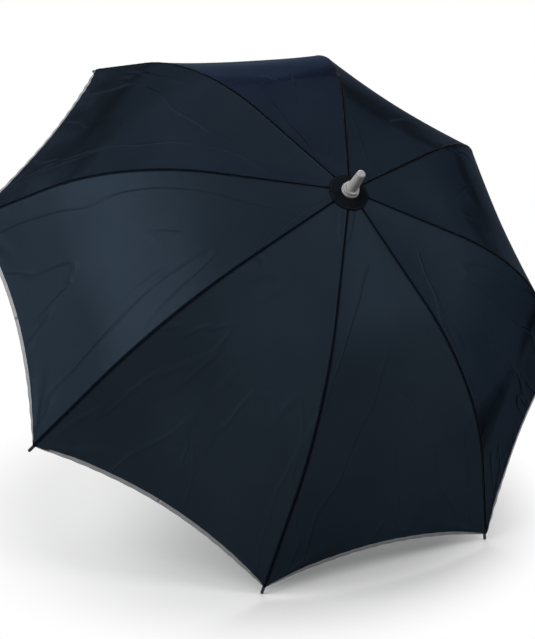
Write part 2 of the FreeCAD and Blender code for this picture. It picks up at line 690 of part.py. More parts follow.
def handle_grip():
    """Grip with a bore for the shaft, a well for the button and a socket for the end cap.

    A groove parts the length that the hand holds from the top with the button."""
    body = body_of("handle_grip", moved(0, 0, 0))
    groove = "(grip_radius - grip_groove_depth)"
    socket, socket_top = "(spigot_radius + spigot_gap)", f"(spigot_gap + spigot_length - {GRIP_FOOT})"
    bore_foot = f"(-{TUBE_BOTTOM} - bore_clear)"
    turn_solid(body, [
        (PRESS_BORE, f"-{GRIP_TOP}"), (PRESS_BORE, bore_foot), ("0", bore_foot),
        ("0", socket_top), (socket, socket_top), (socket, f"-{GRIP_FOOT}"),
        ("grip_radius", f"-{GRIP_FOOT}"), ("grip_radius", f"-{GROOVE_FOOT}"),
        (groove, f"-{GROOVE_FOOT}"), (groove, f"-{GROOVE_TOP}"),
        ("grip_radius", f"-{GROOVE_TOP}"), ("grip_radius", f"-{GRIP_TOP}"),
    ])
    well = ring(sketch_on(body, "XZ_Plane"), ("0", f"-{BUTTON_DROP}"), "button_radius + button_gap")
    cut_one_side(body, well, "2 * grip_radius")
    round_rims(body, [("grip_radius", f"-{GRIP_TOP}")], "grip_round")


def handle_end_cap():
    body = body_of("handle_end_cap", moved(0, 0, 0))
    turn_solid(body, [
        ("0", f"-{HANDLE_END}"), ("grip_radius", f"-{HANDLE_END}"), ("grip_radius", f"-{GRIP_FOOT}"),
        ("spigot_radius", f"-{GRIP_FOOT}"), ("spigot_radius", f"spigot_length - {GRIP_FOOT}"),
        ("0", f"spigot_length - {GRIP_FOOT}"),
    ])
    round_rims(body, [("grip_radius", f"-{HANDLE_END}")], "end_round")


def button_frame():
    """Axis of the button, +Z outwards to the side of the handle that lies uppermost."""
    return moved(0, 0, -value(BUTTON_DROP)) * turned(X, -90)


def release_button():
    body = body_of("release_button", button_frame())
    face = "(grip_radius + button_proud)"
    turn_solid(body, [
        ("0", "nose_end"), ("nose_radius", "nose_end"), ("nose_radius", "button_seat"),
        ("button_radius", "button_seat"), ("button_radius", face), ("0", face),
    ])
    round_rims(body, [("button_radius", face)], "button_round")


def button_spring():
    foot = "(tube_radius + button_spring_wire + button_spring_gap)"
    height = f"(button_seat - button_spring_wire - button_spring_gap - {foot})"
    frame = button_frame() * moved(0, 0, value(foot))
    coil("button_spring", frame, "button_spring_radius", "button_spring_wire", height,
         "button_spring_turns")


# ---------------------------------------------------------------- assembly

for make in (shaft_tube, top_notch, wires, runner, runner_stop, pusher, cross_pin, spring_seat,
             opening_spring, rosette, ferrule_collar, ferrule, handle_collar, handle_grip,
             handle_end_cap, release_button, button_spring):
    make()
for number in range(1, round(value("rib_count")) + 1):
    for make in (rib, rib_joint, rib_tip, stretcher, canopy_panel):
        make(number)
doc.recompute()

# The origin goes to the floor under the middle of the umbrella.
whole = FreeCAD.BoundBox()
for thing, frame in parts.values():
    thing.Placement = LYING * frame
doc.recompute()
for thing, frame in parts.values():
    whole.add(thing.Shape.optimalBoundingBox(False))
CENTRE = moved(-whole.Center.x, -whole.Center.y, 0)
LAID = CENTRE * LYING
for thing, frame in parts.values():
    thing.Placement = LAID * frame
doc.recompute()

for thing in doc.Objects:
    if "Invalid" in thing.State or "Error" in thing.State:
        raise RuntimeError(f"{thing.Name} ({thing.Label}) failed: {thing.State}")
os.makedirs("parts", exist_ok=True)
for label, (thing, frame) in parts.items():
    if thing.Shape.isNull() or not thing.Shape.isValid():
        raise RuntimeError(f"{label} has no valid shape")
for label, (thing, frame) in parts.items():
    thing.Shape.exportStep(f"parts/{label}.step")
    print(label, len(thing.Shape.Solids), round(thing.Shape.Volume, 1))
print("tilt", TILT, "bounds", whole)
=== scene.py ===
import json
from math import asin, cos, pi, radians, sin, tan
import bmesh
import bpy
import numpy as np
from mathutils import Matrix, Vector


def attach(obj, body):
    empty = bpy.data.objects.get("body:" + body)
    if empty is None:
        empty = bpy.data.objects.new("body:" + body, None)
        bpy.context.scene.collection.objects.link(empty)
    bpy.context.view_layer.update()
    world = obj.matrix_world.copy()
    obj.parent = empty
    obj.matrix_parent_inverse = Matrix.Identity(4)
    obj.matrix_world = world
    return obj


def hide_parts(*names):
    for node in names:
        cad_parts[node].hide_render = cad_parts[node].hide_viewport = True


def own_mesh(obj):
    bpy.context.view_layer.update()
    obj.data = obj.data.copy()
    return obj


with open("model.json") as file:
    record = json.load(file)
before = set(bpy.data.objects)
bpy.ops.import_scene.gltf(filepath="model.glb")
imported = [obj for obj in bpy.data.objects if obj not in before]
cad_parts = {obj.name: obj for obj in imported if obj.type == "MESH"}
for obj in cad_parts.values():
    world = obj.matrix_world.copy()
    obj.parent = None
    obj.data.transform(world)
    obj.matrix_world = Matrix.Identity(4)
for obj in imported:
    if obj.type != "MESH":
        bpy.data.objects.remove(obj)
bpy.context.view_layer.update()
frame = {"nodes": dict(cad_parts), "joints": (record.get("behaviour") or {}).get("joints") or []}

# ---------------------------------------------------------------- studio: floor, lamps and camera
# A plain white floor and backdrop in one, lit by a wide soft lamp high on the left, one behind and
# two weak ones. The floor keeps the shadow under the umbrella and fades to white around it.


def put(tree, kind, inputs={}, **settings):
    """Adds a node. An input is either a value or the socket that feeds it."""
    made = tree.nodes.new(kind)
    for name, setting in settings.items():
        setattr(made, name, setting)
    for name, source in inputs.items():
        if isinstance(source, bpy.types.NodeSocket):
            tree.links.new(source, made.inputs[name])
        else:
            made.inputs[name].default_value = source
    return made


def new_object(name, mesh):
    made = bpy.data.objects.new(name, mesh)
    bpy.context.scene.collection.objects.link(made)
    return made


def seen_plainly(tree):
    """One for what is seen directly, in a gloss or through glass, and zero for all other light."""
    ray = put(tree, "ShaderNodeLightPath").outputs
    seen = put(tree, "ShaderNodeMath", {0: ray["Is Camera Ray"], 1: ray["Is Glossy Ray"]},
               operation="MAXIMUM")
    seen = put(tree, "ShaderNodeMath", {0: seen.outputs[0], 1: ray["Is Transmission Ray"]},
               operation="MAXIMUM")
    return seen.outputs[0]


paper_white, paper_bounce = (0.93, 0.93, 0.93, 1), (0.2, 0.2, 0.2, 1)
shadow_middle, shadow_whole, shadow_gone = (-0.06, 0, 0), 0.33, 0.52
floor_mesh = bpy.data.meshes.new("floor")
floor_mesh.from_pydata([(-30, -30, 0), (30, -30, 0), (30, 30, 0), (-30, 30, 0)], [], [(0, 1, 2, 3)])
floor = new_object("floor", floor_mesh)
white_paper = bpy.data.materials.new("white_paper")
white_paper.use_nodes = True
tree = white_paper.node_tree
tree.nodes.clear()
seen = seen_plainly(tree)
shade = put(tree, "ShaderNodeMix", {0: seen, 6: paper_bounce, 7: paper_white}, data_type="RGBA")
paper = put(tree, "ShaderNodeBsdfDiffuse", {"Color": shade.outputs[2]})
blank = put(tree, "ShaderNodeEmission", {"Color": (1, 1, 1, 1), "Strength": 1.0})
spot = put(tree, "ShaderNodeTexCoord")
far = put(tree, "ShaderNodeVectorMath", {0: spot.outputs["Object"], 1: shadow_middle}, operation="DISTANCE")
far = put(tree, "ShaderNodeMapRange", {"Value": far.outputs["Value"], "From Min": shadow_whole,
                                       "From Max": shadow_gone}, interpolation_type="SMOOTHSTEP")
far = put(tree, "ShaderNodeMath", {0: far.outputs[0], 1: seen}, operation="MULTIPLY")
both = put(tree, "ShaderNodeMixShader", {0: far.outputs[0], 1: paper.outputs[0], 2: blank.outputs[0]})
put(tree, "ShaderNodeOutputMaterial", {"Surface": both.outputs[0]})
floor.data.materials.append(white_paper)

world = bpy.data.worlds.new("studio")
bpy.context.scene.world = world
world.use_nodes = True
tree = world.node_tree
tree.nodes.clear()
level = put(tree, "ShaderNodeMapRange", {"Value": seen_plainly(tree), "To Min": 0.1, "To Max": 1.0})
sky = put(tree, "ShaderNodeBackground", {"Color": (1, 1, 1, 1), "Strength": level.outputs[0]})
put(tree, "ShaderNodeOutputWorld", {"Surface": sky.outputs[0]})

lamps_aim = Vector((0, 0, 0.25))
for name, place, size, power in (("wide_lamp", (-2.43, -0.2, 2.31), 2.4, 74),
                                 ("front_lamp", (1.3, -1.9, 2.3), 1.1, 18),
                                 ("side_lamp", (2.6, -0.6, 1.3), 1.5, 4),
                                 ("back_lamp", (0.9, 1.5, 1.8), 1.2, 35)):
    lamp = bpy.data.lights.new(name, "AREA")
    lamp.size, lamp.energy = size, power
    stand = new_object(name, lamp)
    stand.location = place
    stand.rotation_euler = (lamps_aim - Vector(place)).to_track_quat("-Z", "Y").to_euler()

eye = bpy.data.cameras.new("camera")
eye.lens, eye.sensor_width, eye.clip_end = 72.28, 36, 100
camera = new_object("camera", eye)
camera.location = (-0.9202, -1.7617, 0.9034)
camera.rotation_euler = (pi / 2 - 0.2980, -0.0077, -0.4667)
bpy.context.scene.camera = camera
bpy.context.scene.view_settings.view_transform = "Standard"

# ---------------------------------------------------------------- canopy cloth
# Eight gores of tightly woven navy cloth, drawn taut from rib to rib, with faint creases from folding.
# Each piece is the cloth either side of one rib, cut across into eleven lengths. A lapped seam runs down the
# middle, over the rib.

RIBS = 8
GORE = 2 * pi / RIBS
joints = {joint["name"]: joint for joint in frame["joints"]}
pivots = [Vector(joints[f"rib_{number}_fold"]["pos_m"]) for number in range(1, RIBS + 1)]
hub = sum(pivots, Vector()) / RIBS
hinge_radius = (pivots[0] - hub).length
rib_root, rib_bow, rib_end = 0.176, 0.269, 0.140
rib_slope, rib_turn = radians(11), radians(41.5)
rib_length = rib_root + rib_bow + rib_end
cloth_lift, cloth_thick, cloth_start, hem_over, hem_rise = 0.0031, 0.00035, 0.0075, 0.001, 0.026


def stand_on(number):
    """Rotation whose columns run out along a rib, across it and up the shaft."""
    out = (pivots[number - 1] - hub).normalized()
    across = Vector(joints[f"rib_{number}_fold"]["axis"]).normalized()
    return np.array(Matrix((out, across, out.cross(across))).transposed())


def to_row(number, points):
    return points @ stand_on(number).T + np.array(hub)


def above_rib(along, lift):
    """Radius, height and lean of a line that keeps its distance from a rib's middle line."""
    bend = rib_bow / rib_turn
    lean = rib_slope + np.clip((along - rib_root) / rib_bow, 0, 1) * rib_turn
    straight, past = np.minimum(along, rib_root), np.maximum(along - rib_root - rib_bow, 0)
    out = hinge_radius + straight * cos(rib_slope) + bend * (np.sin(lean) - sin(rib_slope))
    up = -straight * sin(rib_slope) + bend * (np.cos(lean) - cos(rib_slope))
    out, up = out + past * cos(rib_slope + rib_turn), up - past * sin(rib_slope + rib_turn)
    return out + lift * np.sin(lean), up + lift * np.cos(lean), lean


def hem_at(share):
    return rib_length + hem_over - hem_rise * 4 * share * (1 - share)


def relief(gore, along, share):
    """How far a gore stands off its taut shape: puckers at seams and hem, folds from the tips."""
    chance = np.random.default_rng(310 + gore % RIBS)
    turn = chance.uniform(0, 2 * pi, 16)
    chord = 2 * sin(GORE / 2) * above_rib(along, 0)[0]
    to_hem = hem_at(share) - along
    height = np.zeros_like(along)
    seam_pucker, seam_pitch, seam_reach = 0.00028, 0.019, 0.008
    hem_pucker, hem_pitch, hem_reach = 0.0003, 0.024, 0.012
    tip_fold, tip_from, tip_reach = 0.0011, 0.05, 0.045
    sag, sway_height = 0.006, 0.0005
    for side, off in enumerate((share * chord, (1 - share) * chord)):
        off = np.maximum(off, 0)
        free = 1 - np.exp(-off / 0.003)
        stray = 1.4 * np.sin(along / 0.021 + turn[side + 2])
        ripple = np.sin(2 * pi * along / seam_pitch + turn[side] + stray)
        height += seam_pucker * ripple * np.exp(-off / seam_reach) * free
        ripple = np.sin(2 * pi * off / hem_pitch + turn[side + 4])
        height += hem_pucker * ripple * np.exp(-np.maximum(to_hem, 0) / hem_reach) * (1 - np.exp(-off / 0.01))
        reach = np.hypot(off, rib_length - along)
        angle = np.arctan2(rib_length - along, np.maximum(off, 1e-6))
        fold = np.sin(13 * angle + turn[side + 6]) * np.exp(-((angle - 0.35) / 0.33) ** 2)
        height += tip_fold * fold * np.exp(-((reach - tip_from) / tip_reach) ** 2) * free
    middle = 4 * share * (1 - share) * np.sin(pi * np.clip((along - 0.02) / 0.56, 0, 1)) ** 0.7
    height -= sag * middle
    for wave in range(4):
        pace = chance.uniform(0.10, 0.24)
        sway = np.sin(2 * pi * along / pace + turn[8 + wave] + (wave - 1.5) * 2.2 * share)
        height += sway_height * sway * middle
    return height


def cloth_shape(number, along, share, off=0.0):
    """Cloth near a rib in the rib's own frame. Share: 0 at the rib, +-0.5 at mid gore."""
    away, side = np.abs(share), np.sign(share)
    out, up, lean = above_rib(along, cloth_lift)
    across = away * out * sin(GORE)
    nose, lap_edge, lap_step, lap_rise, bend_over = 0.0022, 0.0029, 0.0005, 0.0004, 0.006
    inward = tan(GORE / 2) * (across + (np.sqrt(across**2 + nose**2) - across - nose) * (1 - 2 * away))
    steep = np.arctan(np.tan(lean) / cos(GORE / 2))
    rise = np.where(share >= 0, relief(number, along, away), relief(number - 1, along, 1 - away))
    lap = np.clip((lap_edge - across) / lap_step, 0, 1)
    rise = rise + off + lap_rise * lap * lap * (3 - 2 * lap)
    facing = np.clip(across / bend_over, 0, 1) * GORE / 2
    x = out - inward + rise * np.sin(steep) * np.cos(facing)
    y = side * (across + rise * np.sin(steep) * np.sin(facing))
    return np.stack([x, y, up + rise * np.cos(steep)], axis=-1)


# columns across the cloth: close together over the seam, then evenly spread to mid gore
near_seam = np.array([0, 0.8, 1.6, 2.2, 2.5, 2.9, 3.6, 4.8]) / 1000
spread = np.arange(1, 46) / 44
rows = 150


def net(number):
    """Along, share and points of the cloth, one row and column more than it has on each side."""
    step = 1 / (rows - 1)
    down = np.linspace(-step, 1 + step, rows + 2)[:, None]
    out = above_rib(cloth_start + down * (rib_length - cloth_start), 0)[0]
    half = out * sin(GORE / 2)
    lateral = np.concatenate([np.broadcast_to(near_seam, (rows + 2, near_seam.size)),
                              near_seam[-1] + (half - near_seam[-1]) * spread], axis=1)
    share = lateral / (2 * half)
    share = np.concatenate([-share[:, :0:-1], share], axis=1)
    along = cloth_start + down * (hem_at(np.abs(share)) - cloth_start)
    return along, share, to_row(number, cloth_shape(number, along, share))


def shell(name, outer, normals, thick, chart):
    """A closed thin shell from a grid of points, with the grid's own normals on both walls."""
    high, wide = outer.shape[:2]
    count = high * wide
    index = np.arange(count).reshape(high, wide)
    a, b, c, d = index[:-1, :-1], index[1:, :-1], index[1:, 1:], index[:-1, 1:]
    top = np.stack([a, b, c, d], -1).reshape(-1, 4)
    edge = np.concatenate([index[:-1, 0], index[-1, :-1], index[:0:-1, -1], index[0, :0:-1]])
    after = np.roll(edge, -1)
    rim = np.stack([after, edge, edge + count, after + count], -1)
    faces = np.concatenate([top, top[:, ::-1] + count, rim])
    points = np.concatenate([outer.reshape(-1, 3), (outer - normals * thick).reshape(-1, 3)])
    mesh = bpy.data.meshes.new(name)
    mesh.from_pydata(points.tolist(), [], faces.tolist())
    mesh.shade_smooth()
    flat = normals.reshape(-1, 3)
    both = np.concatenate([flat, -flat])[faces[: 2 * len(top)]].reshape(-1, 3)
    corner = points[rim]
    side = np.cross(corner[:, 1] - corner[:, 0], corner[:, 2] - corner[:, 1])
    side = side / np.maximum(np.linalg.norm(side, axis=1), 1e-12)[:, None]
    mesh.normals_split_custom_set(np.concatenate([both, np.repeat(side, 4, axis=0)]).tolist())
    layer = mesh.uv_layers.new(name="cut")
    layer.data.foreach_set("uv", np.tile(chart.reshape(-1, 2), (2, 1))[faces.ravel()].ravel())
    return mesh


def weave(tree, shader, pitch, depth, strength=0.5, creases=None):
    """Over-and-under threads as a bump, from the flat cut's own measure in metres."""
    cut = put(tree, "ShaderNodeUVMap", uv_map="cut")
    threads = []
    for turn in (0, 90):
        bent = put(tree, "ShaderNodeMapping", {"Vector": cut.outputs[0], "Rotation": (0, 0, radians(turn))})
        wave = put(tree, "ShaderNodeTexWave", {"Vector": bent.outputs[0], "Scale": 0.05 / pitch,
                                               "Distortion": 0.6, "Detail": 1.0, "Detail Scale": 0.4})
        threads.append(wave.outputs["Fac"])
    cross = put(tree, "ShaderNodeMath", {0: threads[0], 1: threads[1]}, operation="MAXIMUM")
    bump = put(tree, "ShaderNodeBump", {"Height": cross.outputs[0], "Distance": depth, "Strength": strength})
    if creases:
        tree.links.new(creases, bump.inputs["Normal"])
    tree.links.new(bump.outputs[0], shader.inputs["Normal"])


def new_finish(name, **fixed):
    """A material with a Principled shader, whose even values go straight on its sockets."""
    made = bpy.data.materials.new(name)
    made.use_nodes = True
    shader = made.node_tree.nodes["Principled BSDF"]
    for socket, setting in fixed.items():
        shader.inputs[socket.replace("_", " ")].default_value = setting
    return made, made.node_tree, shader


def between(tree, factor, low, high):
    """Colour that runs from low to high with a factor."""
    mix = put(tree, "ShaderNodeMix", {0: factor, 6: (*low, 1), 7: (*high, 1)}, data_type="RGBA")
    return mix.outputs[2]


navy_cloth, tree, shader = new_finish("navy_cloth", Metallic=0.72, Sheen_Weight=0.01,
                                      Specular_IOR_Level=0.0, Specular_Tint=(0.28, 0.32, 0.36, 1))
cut = put(tree, "ShaderNodeUVMap", uv_map="cut").outputs[0]
place = put(tree, "ShaderNodeTexCoord")
broad = put(tree, "ShaderNodeTexNoise", {"Vector": place.outputs["Object"], "Scale": 7.0, "Detail": 4.0})
slub = put(tree, "ShaderNodeMapping", {"Vector": cut, "Scale": (2600, 90, 1)})
slub = put(tree, "ShaderNodeTexNoise", {"Vector": slub.outputs[0], "Scale": 1.0, "Detail": 2.0})
tone = put(tree, "ShaderNodeMath", {0: slub.outputs[0], 1: 0.35, 2: broad.outputs[0]},
           operation="MULTIPLY_ADD")
tone = put(tree, "ShaderNodeMapRange", {"Value": tone.outputs[0], "From Min": 0.45, "From Max": 0.9})
cloth_colour = between(tree, tone.outputs[0], (0.0110, 0.0170, 0.0246), (0.0150, 0.0226, 0.0324))
# a band along each seam, over the rib, is coloured much darker than the cloth around it
seam = put(tree, "ShaderNodeAttribute", attribute_name="seam_lap")
seam_band_colour = (0.0015, 0.0030, 0.0060, 1)
darker = put(tree, "ShaderNodeMix", {0: seam.outputs["Fac"], 6: cloth_colour, 7: seam_band_colour},
             data_type="RGBA")
tree.links.new(darker.outputs[2], shader.inputs["Base Color"])
gloss = put(tree, "ShaderNodeMapRange", {"Value": broad.outputs[0], "To Min": 0.48, "To Max": 0.56})
tree.links.new(gloss.outputs[0], shader.inputs["Roughness"])
# a crease runs where a noise stretched along the cut crosses its middle value
which = put(tree, "ShaderNodeAttribute", attribute_name="rib_number")
which = put(tree, "ShaderNodeCombineXYZ", {"Z": which.outputs["Fac"]})
laid = put(tree, "ShaderNodeMapping", {"Vector": cut, "Rotation": (0, 0, 0.12), "Scale": (13, 3.2, 1)})
laid = put(tree, "ShaderNodeVectorMath", {0: which.outputs[0], 1: (0, 0, 7.3), 2: laid.outputs[0]},
           operation="MULTIPLY_ADD")
line = put(tree, "ShaderNodeTexNoise", {"Vector": laid.outputs[0], "Scale": 1.0, "Detail": 2.0,
                                        "Roughness": 0.4})
line = put(tree, "ShaderNodeMath", {0: line.outputs[0], 1: 0.5}, operation="SUBTRACT")
line = put(tree, "ShaderNodeMath", {0: line.outputs[0]}, operation="ABSOLUTE")
line = put(tree, "ShaderNodeMapRange", {"Value": line.outputs[0], "From Max": 0.02, "To Min": 1.0,
                                        "To Max": 0.0})
crease = put(tree, "ShaderNodeBump", {"Height": line.outputs[0], "Distance": 0.0012, "Strength": 0.6})
weave(tree, shader, 0.00028, 0.00006, creases=crease.outputs[0])

# each length's letter, its start and end along the rib, and how far out it still stands when folded in
LENGTHS = (("a", 0.0, 0.045, 0.68), ("b", 0.045, 0.090, 0.58), ("c", 0.090, 0.285, 0.515),
           ("d", 0.285, 0.320, 0.48), ("e", 0.320, 0.352, 0.455), ("f", 0.352, 0.384, 0.425),
           ("g", 0.384, 0.414, 0.385), ("h", 0.414, 0.444, 0.345), ("i", 0.444, 0.474, 0.30),
           ("j", 0.474, 0.506, 0.258), ("k", 0.506, 1.0, 0.215))
band_half, band_grows, band_blur = 0.0023, 0.0008, 0.0004
for number in range(1, RIBS + 1):
    along, share, points = net(number)
    normals = np.cross(points[2:, 1:-1] - points[:-2, 1:-1], points[1:-1, 2:] - points[1:-1, :-2])
    normals /= np.linalg.norm(normals, axis=2)[..., None]
    along, share, points = (grid[1:-1, 1:-1] for grid in (along, share, points))
    lateral = share * 2 * sin(GORE / 2) * above_rib(along, 0)[0]
    chart = np.stack([lateral, along], -1)
    middle = along[:, along.shape[1] // 2]
    for letter, low, high, kept in LENGTHS:
        first = int(np.searchsorted(middle, low))
        last = min(int(np.searchsorted(middle, high)), rows - 1)
        strip = slice(first, last + 1)
        mesh = shell(f"canopy_cloth_{number}{letter}", points[strip], normals[strip], cloth_thick,
                     chart[strip])
        lap = mesh.attributes.new("seam_lap", "FLOAT", "POINT")
        band = band_half + band_grows * np.clip(along[strip] / 0.3, 0, 1)
        dark = np.clip((band - np.abs(lateral[strip])) / band_blur, 0, 1).ravel()
        lap.data.foreach_set("value", np.tile(dark, 2).astype(np.float32))
        rib = mesh.attributes.new("rib_number", "FLOAT", "POINT")
        rib.data.foreach_set("value", np.full(2 * dark.size, number, np.float32))
        mesh.materials.append(navy_cloth)
        piece = new_object(mesh.name, mesh)
        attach(piece, f"rib_{number}_arm")
        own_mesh(piece)
        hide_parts(f"canopy_{number}")

# ---------------------------------------------------------------- hem tape
# Pale reflective tape folded over the canopy's hem and sewn through. It is a long strip of woven
# ribbon coated with tiny glass beads, drawn narrower towards each rib tip.


def noise(tree, scale, detail=3.0, vector=None, stretch=(1, 1, 1)):
    """Cloudy values on a piece's own coordinates, stretched along an axis where wanted."""
    vector = vector or put(tree, "ShaderNodeTexCoord").outputs["Object"]
    vector = put(tree, "ShaderNodeMapping", {"Vector": vector, "Scale": stretch}).outputs[0]
    return put(tree, "ShaderNodeTexNoise", {"Vector": vector, "Scale": scale, "Detail": detail}).outputs[0]


def tint(tree, shader, factor, low, high):
    """Colours a finish, from low to high with a factor."""
    tree.links.new(between(tree, factor, low, high), shader.inputs["Base Color"])


def vary(tree, factor, socket, low, high):
    """Feeds a shader's socket with a value that runs from low to high."""
    run = put(tree, "ShaderNodeMapRange", {"Value": factor, "From Min": 0.3, "From Max": 0.7,
                                           "To Min": low, "To Max": high})
    tree.links.new(run.outputs[0], socket)


def loft(name, rings, closed=False):
    """A solid along rings of points, each ring closed, capped at both ends unless the row closes."""
    count, size = rings.shape[:2]
    index = np.arange(count * size).reshape(count, size)
    near = index if closed else index[:-1]
    far = np.roll(index, -1, axis=0) if closed else index[1:]
    walls = np.stack([near, np.roll(near, -1, axis=1), np.roll(far, -1, axis=1), far], -1)
    walls = walls.reshape(-1, 4).tolist()
    caps = [] if closed else [index[0].tolist(), index[-1].tolist()]
    mesh = bpy.data.meshes.new(name)
    mesh.from_pydata(rings.reshape(-1, 3).tolist(), [], walls + caps)
    mesh.shade_smooth()
    for number in range(len(walls), len(walls) + len(caps)):
        mesh.polygons[number].use_smooth = False
    solid = bmesh.new()
    solid.from_mesh(mesh)
    bmesh.ops.recalc_face_normals(solid, faces=solid.faces)
    solid.to_mesh(mesh)
    solid.free()
    return mesh


def chart_rings(mesh, across, along):
    """Writes each point's place in the flat cut, in metres, as the UV map."""
    chart = np.stack([across, along], -1).reshape(-1, 2)
    corners = np.zeros(len(mesh.loops), np.int32)
    mesh.loops.foreach_get("vertex_index", corners)
    mesh.uv_layers.new(name="cut").data.foreach_set("uv", chart[corners].ravel())


pale_tape, tree, shader = new_finish("pale_tape", Metallic=0.25, Specular_IOR_Level=0.4)
weave(tree, shader, 0.0005, 0.00008, 0.6)
bead = noise(tree, 900.0, 2.0)
tint(tree, shader, bead, (0.20, 0.205, 0.213), (0.32, 0.325, 0.335))
vary(tree, noise(tree, 60.0), shader.inputs["Roughness"], 0.34, 0.5)

# the strip's section: distance from the hem's edge and height off the cloth, in millimetres
TAPE = np.array([(5.7, 0.03), (5.6, 0.24), (5.0, 0.33), (3.0, 0.36), (0.9, 0.36), (0.1, 0.33), (-0.45, 0.14),
                 (-0.62, -0.18), (-0.45, -0.5), (0.1, -0.68), (3.0, -0.7), (5.0, -0.68), (5.6, -0.58),
                 (5.7, -0.38), (0.1, -0.38), (-0.12, -0.18), (0.1, 0.03)]) / 1000
half_gore = float(above_rib(np.array(rib_length), 0)[0] * sin(GORE / 2))
beside_tip = [0.0058, 0.0064, 0.0072, 0.0086, 0.0104]
hem_steps = np.concatenate([beside_tip, np.linspace(0.013, half_gore, 44)])[:, None]
drawn_from, drawn_over, fold_inset = 0.0052, 0.055, 0.0006


def hem_line(number, side, from_edge, off):
    """Points along the hem on one side of a rib, at a distance in from its edge."""
    share = hem_steps / (2 * half_gore)
    drawn = 0.12 + 0.88 * np.clip((hem_steps - drawn_from) / drawn_over, 0.0, 1) ** 0.55
    edge = np.asarray(from_edge)
    inset = np.where(edge > 0.0008, fold_inset + (edge - fold_inset) * drawn, edge)
    points = cloth_shape(number, hem_at(share) - inset, side * np.broadcast_to(share, inset.shape), off)
    return to_row(number, points)


for number in range(1, RIBS + 1):
    for side, hand in ((-1, "left"), (1, "right")):
        inward = np.broadcast_to(TAPE[:, 0], (len(hem_steps), len(TAPE)))
        rings = hem_line(number, side, inward, TAPE[:, 1])
        mesh = loft(f"hem_tape_{number}_{hand}", rings)
        chart_rings(mesh, np.broadcast_to(hem_steps, inward.shape), inward + TAPE[:, 1])
        mesh.materials.append(pale_tape)
        tape = new_object(mesh.name, mesh)
        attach(tape, f"rib_{number}_arm")
        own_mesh(tape)

# ---------------------------------------------------------------- stitching
# Sewing thread, dark along the gores' seams and pale along the hem. Each line of sewing is a row of
# short stitches, set at even steps along its path.


def stitch_tree():
    """Node group that lays one small oval of thread at each step along a path."""
    group = bpy.data.node_groups.new("stitches", "GeometryNodeTree")
    for label, kind in (("Path", "Geometry"), ("Pitch", "Float"), ("Stitch length", "Float"),
                        ("Thread", "Float"), ("Finish", "Material")):
        group.interface.new_socket(label, in_out="INPUT", socket_type="NodeSocket" + kind)
    group.interface.new_socket("Stitches", in_out="OUTPUT", socket_type="NodeSocketGeometry")
    given = put(group, "NodeGroupInput").outputs
    path = put(group, "GeometryNodeMeshToCurve", {"Mesh": given["Path"]})
    steps = put(group, "GeometryNodeResampleCurve", {"Curve": path.outputs[0], "Length": given["Pitch"]},
                mode="LENGTH")
    way = put(group, "GeometryNodeInputTangent")
    turn = put(group, "FunctionNodeAlignRotationToVector", {"Vector": way.outputs[0]}, axis="Z")
    oval = put(group, "GeometryNodeMeshUVSphere", {"Segments": 5, "Rings": 4, "Radius": 0.5})
    size = put(group, "ShaderNodeCombineXYZ", {"X": given["Thread"], "Y": given["Thread"],
                                               "Z": given["Stitch length"]})
    row = put(group, "GeometryNodeInstanceOnPoints", {"Points": steps.outputs[0], "Instance": oval.outputs[0],
                                                      "Rotation": turn.outputs[0], "Scale": size.outputs[0]})
    real = put(group, "GeometryNodeRealizeInstances", {"Geometry": row.outputs[0]})
    smooth = put(group, "GeometryNodeSetShadeSmooth", {0: real.outputs[0]})
    done = put(group, "GeometryNodeSetMaterial", {"Geometry": smooth.outputs[0], "Material": given["Finish"]})
    put(group, "NodeGroupOutput", {"Stitches": done.outputs[0]})
    return group


stitches = stitch_tree()


def sew(name, lines, finish, pitch, length, thread):
    """One mesh of stitches along several lines of points."""
    points, edges = [], []
    for line in lines:
        edges += [(len(points) + step, len(points) + step + 1) for step in range(len(line) - 1)]
        points += [tuple(point) for point in line]
    path = bpy.data.meshes.new(name + "_path")
    path.from_pydata(points, edges, [])
    guide = new_object(name + "_path", path)
    maker = guide.modifiers.new("stitches", "NODES")
    maker.node_group = stitches
    values = {"Pitch": pitch, "Stitch length": length, "Thread": thread, "Finish": finish}
    for item in stitches.interface.items_tree:
        if item.in_out == "INPUT" and item.name in values:
            maker[item.identifier] = values[item.name]
    ready = guide.evaluated_get(bpy.context.evaluated_depsgraph_get())
    mesh = bpy.data.meshes.new_from_object(ready)
    mesh.name = name
    bpy.data.objects.remove(guide)
    return new_object(name, mesh)


def thread_finish(name, low, high):
    made, tree, shader = new_finish(name, Specular_IOR_Level=0.3, Sheen_Weight=0.1)
    strand = noise(tree, 700.0, 2.0, stretch=(1, 1, 3))
    tint(tree, shader, strand, low, high)
    vary(tree, strand, shader.inputs["Roughness"], 0.45, 0.65)
    twist = put(tree, "ShaderNodeBump", {"Height": strand, "Distance": 0.0001, "Strength": 0.6})
    tree.links.new(twist.outputs[0], shader.inputs["Normal"])
    return made


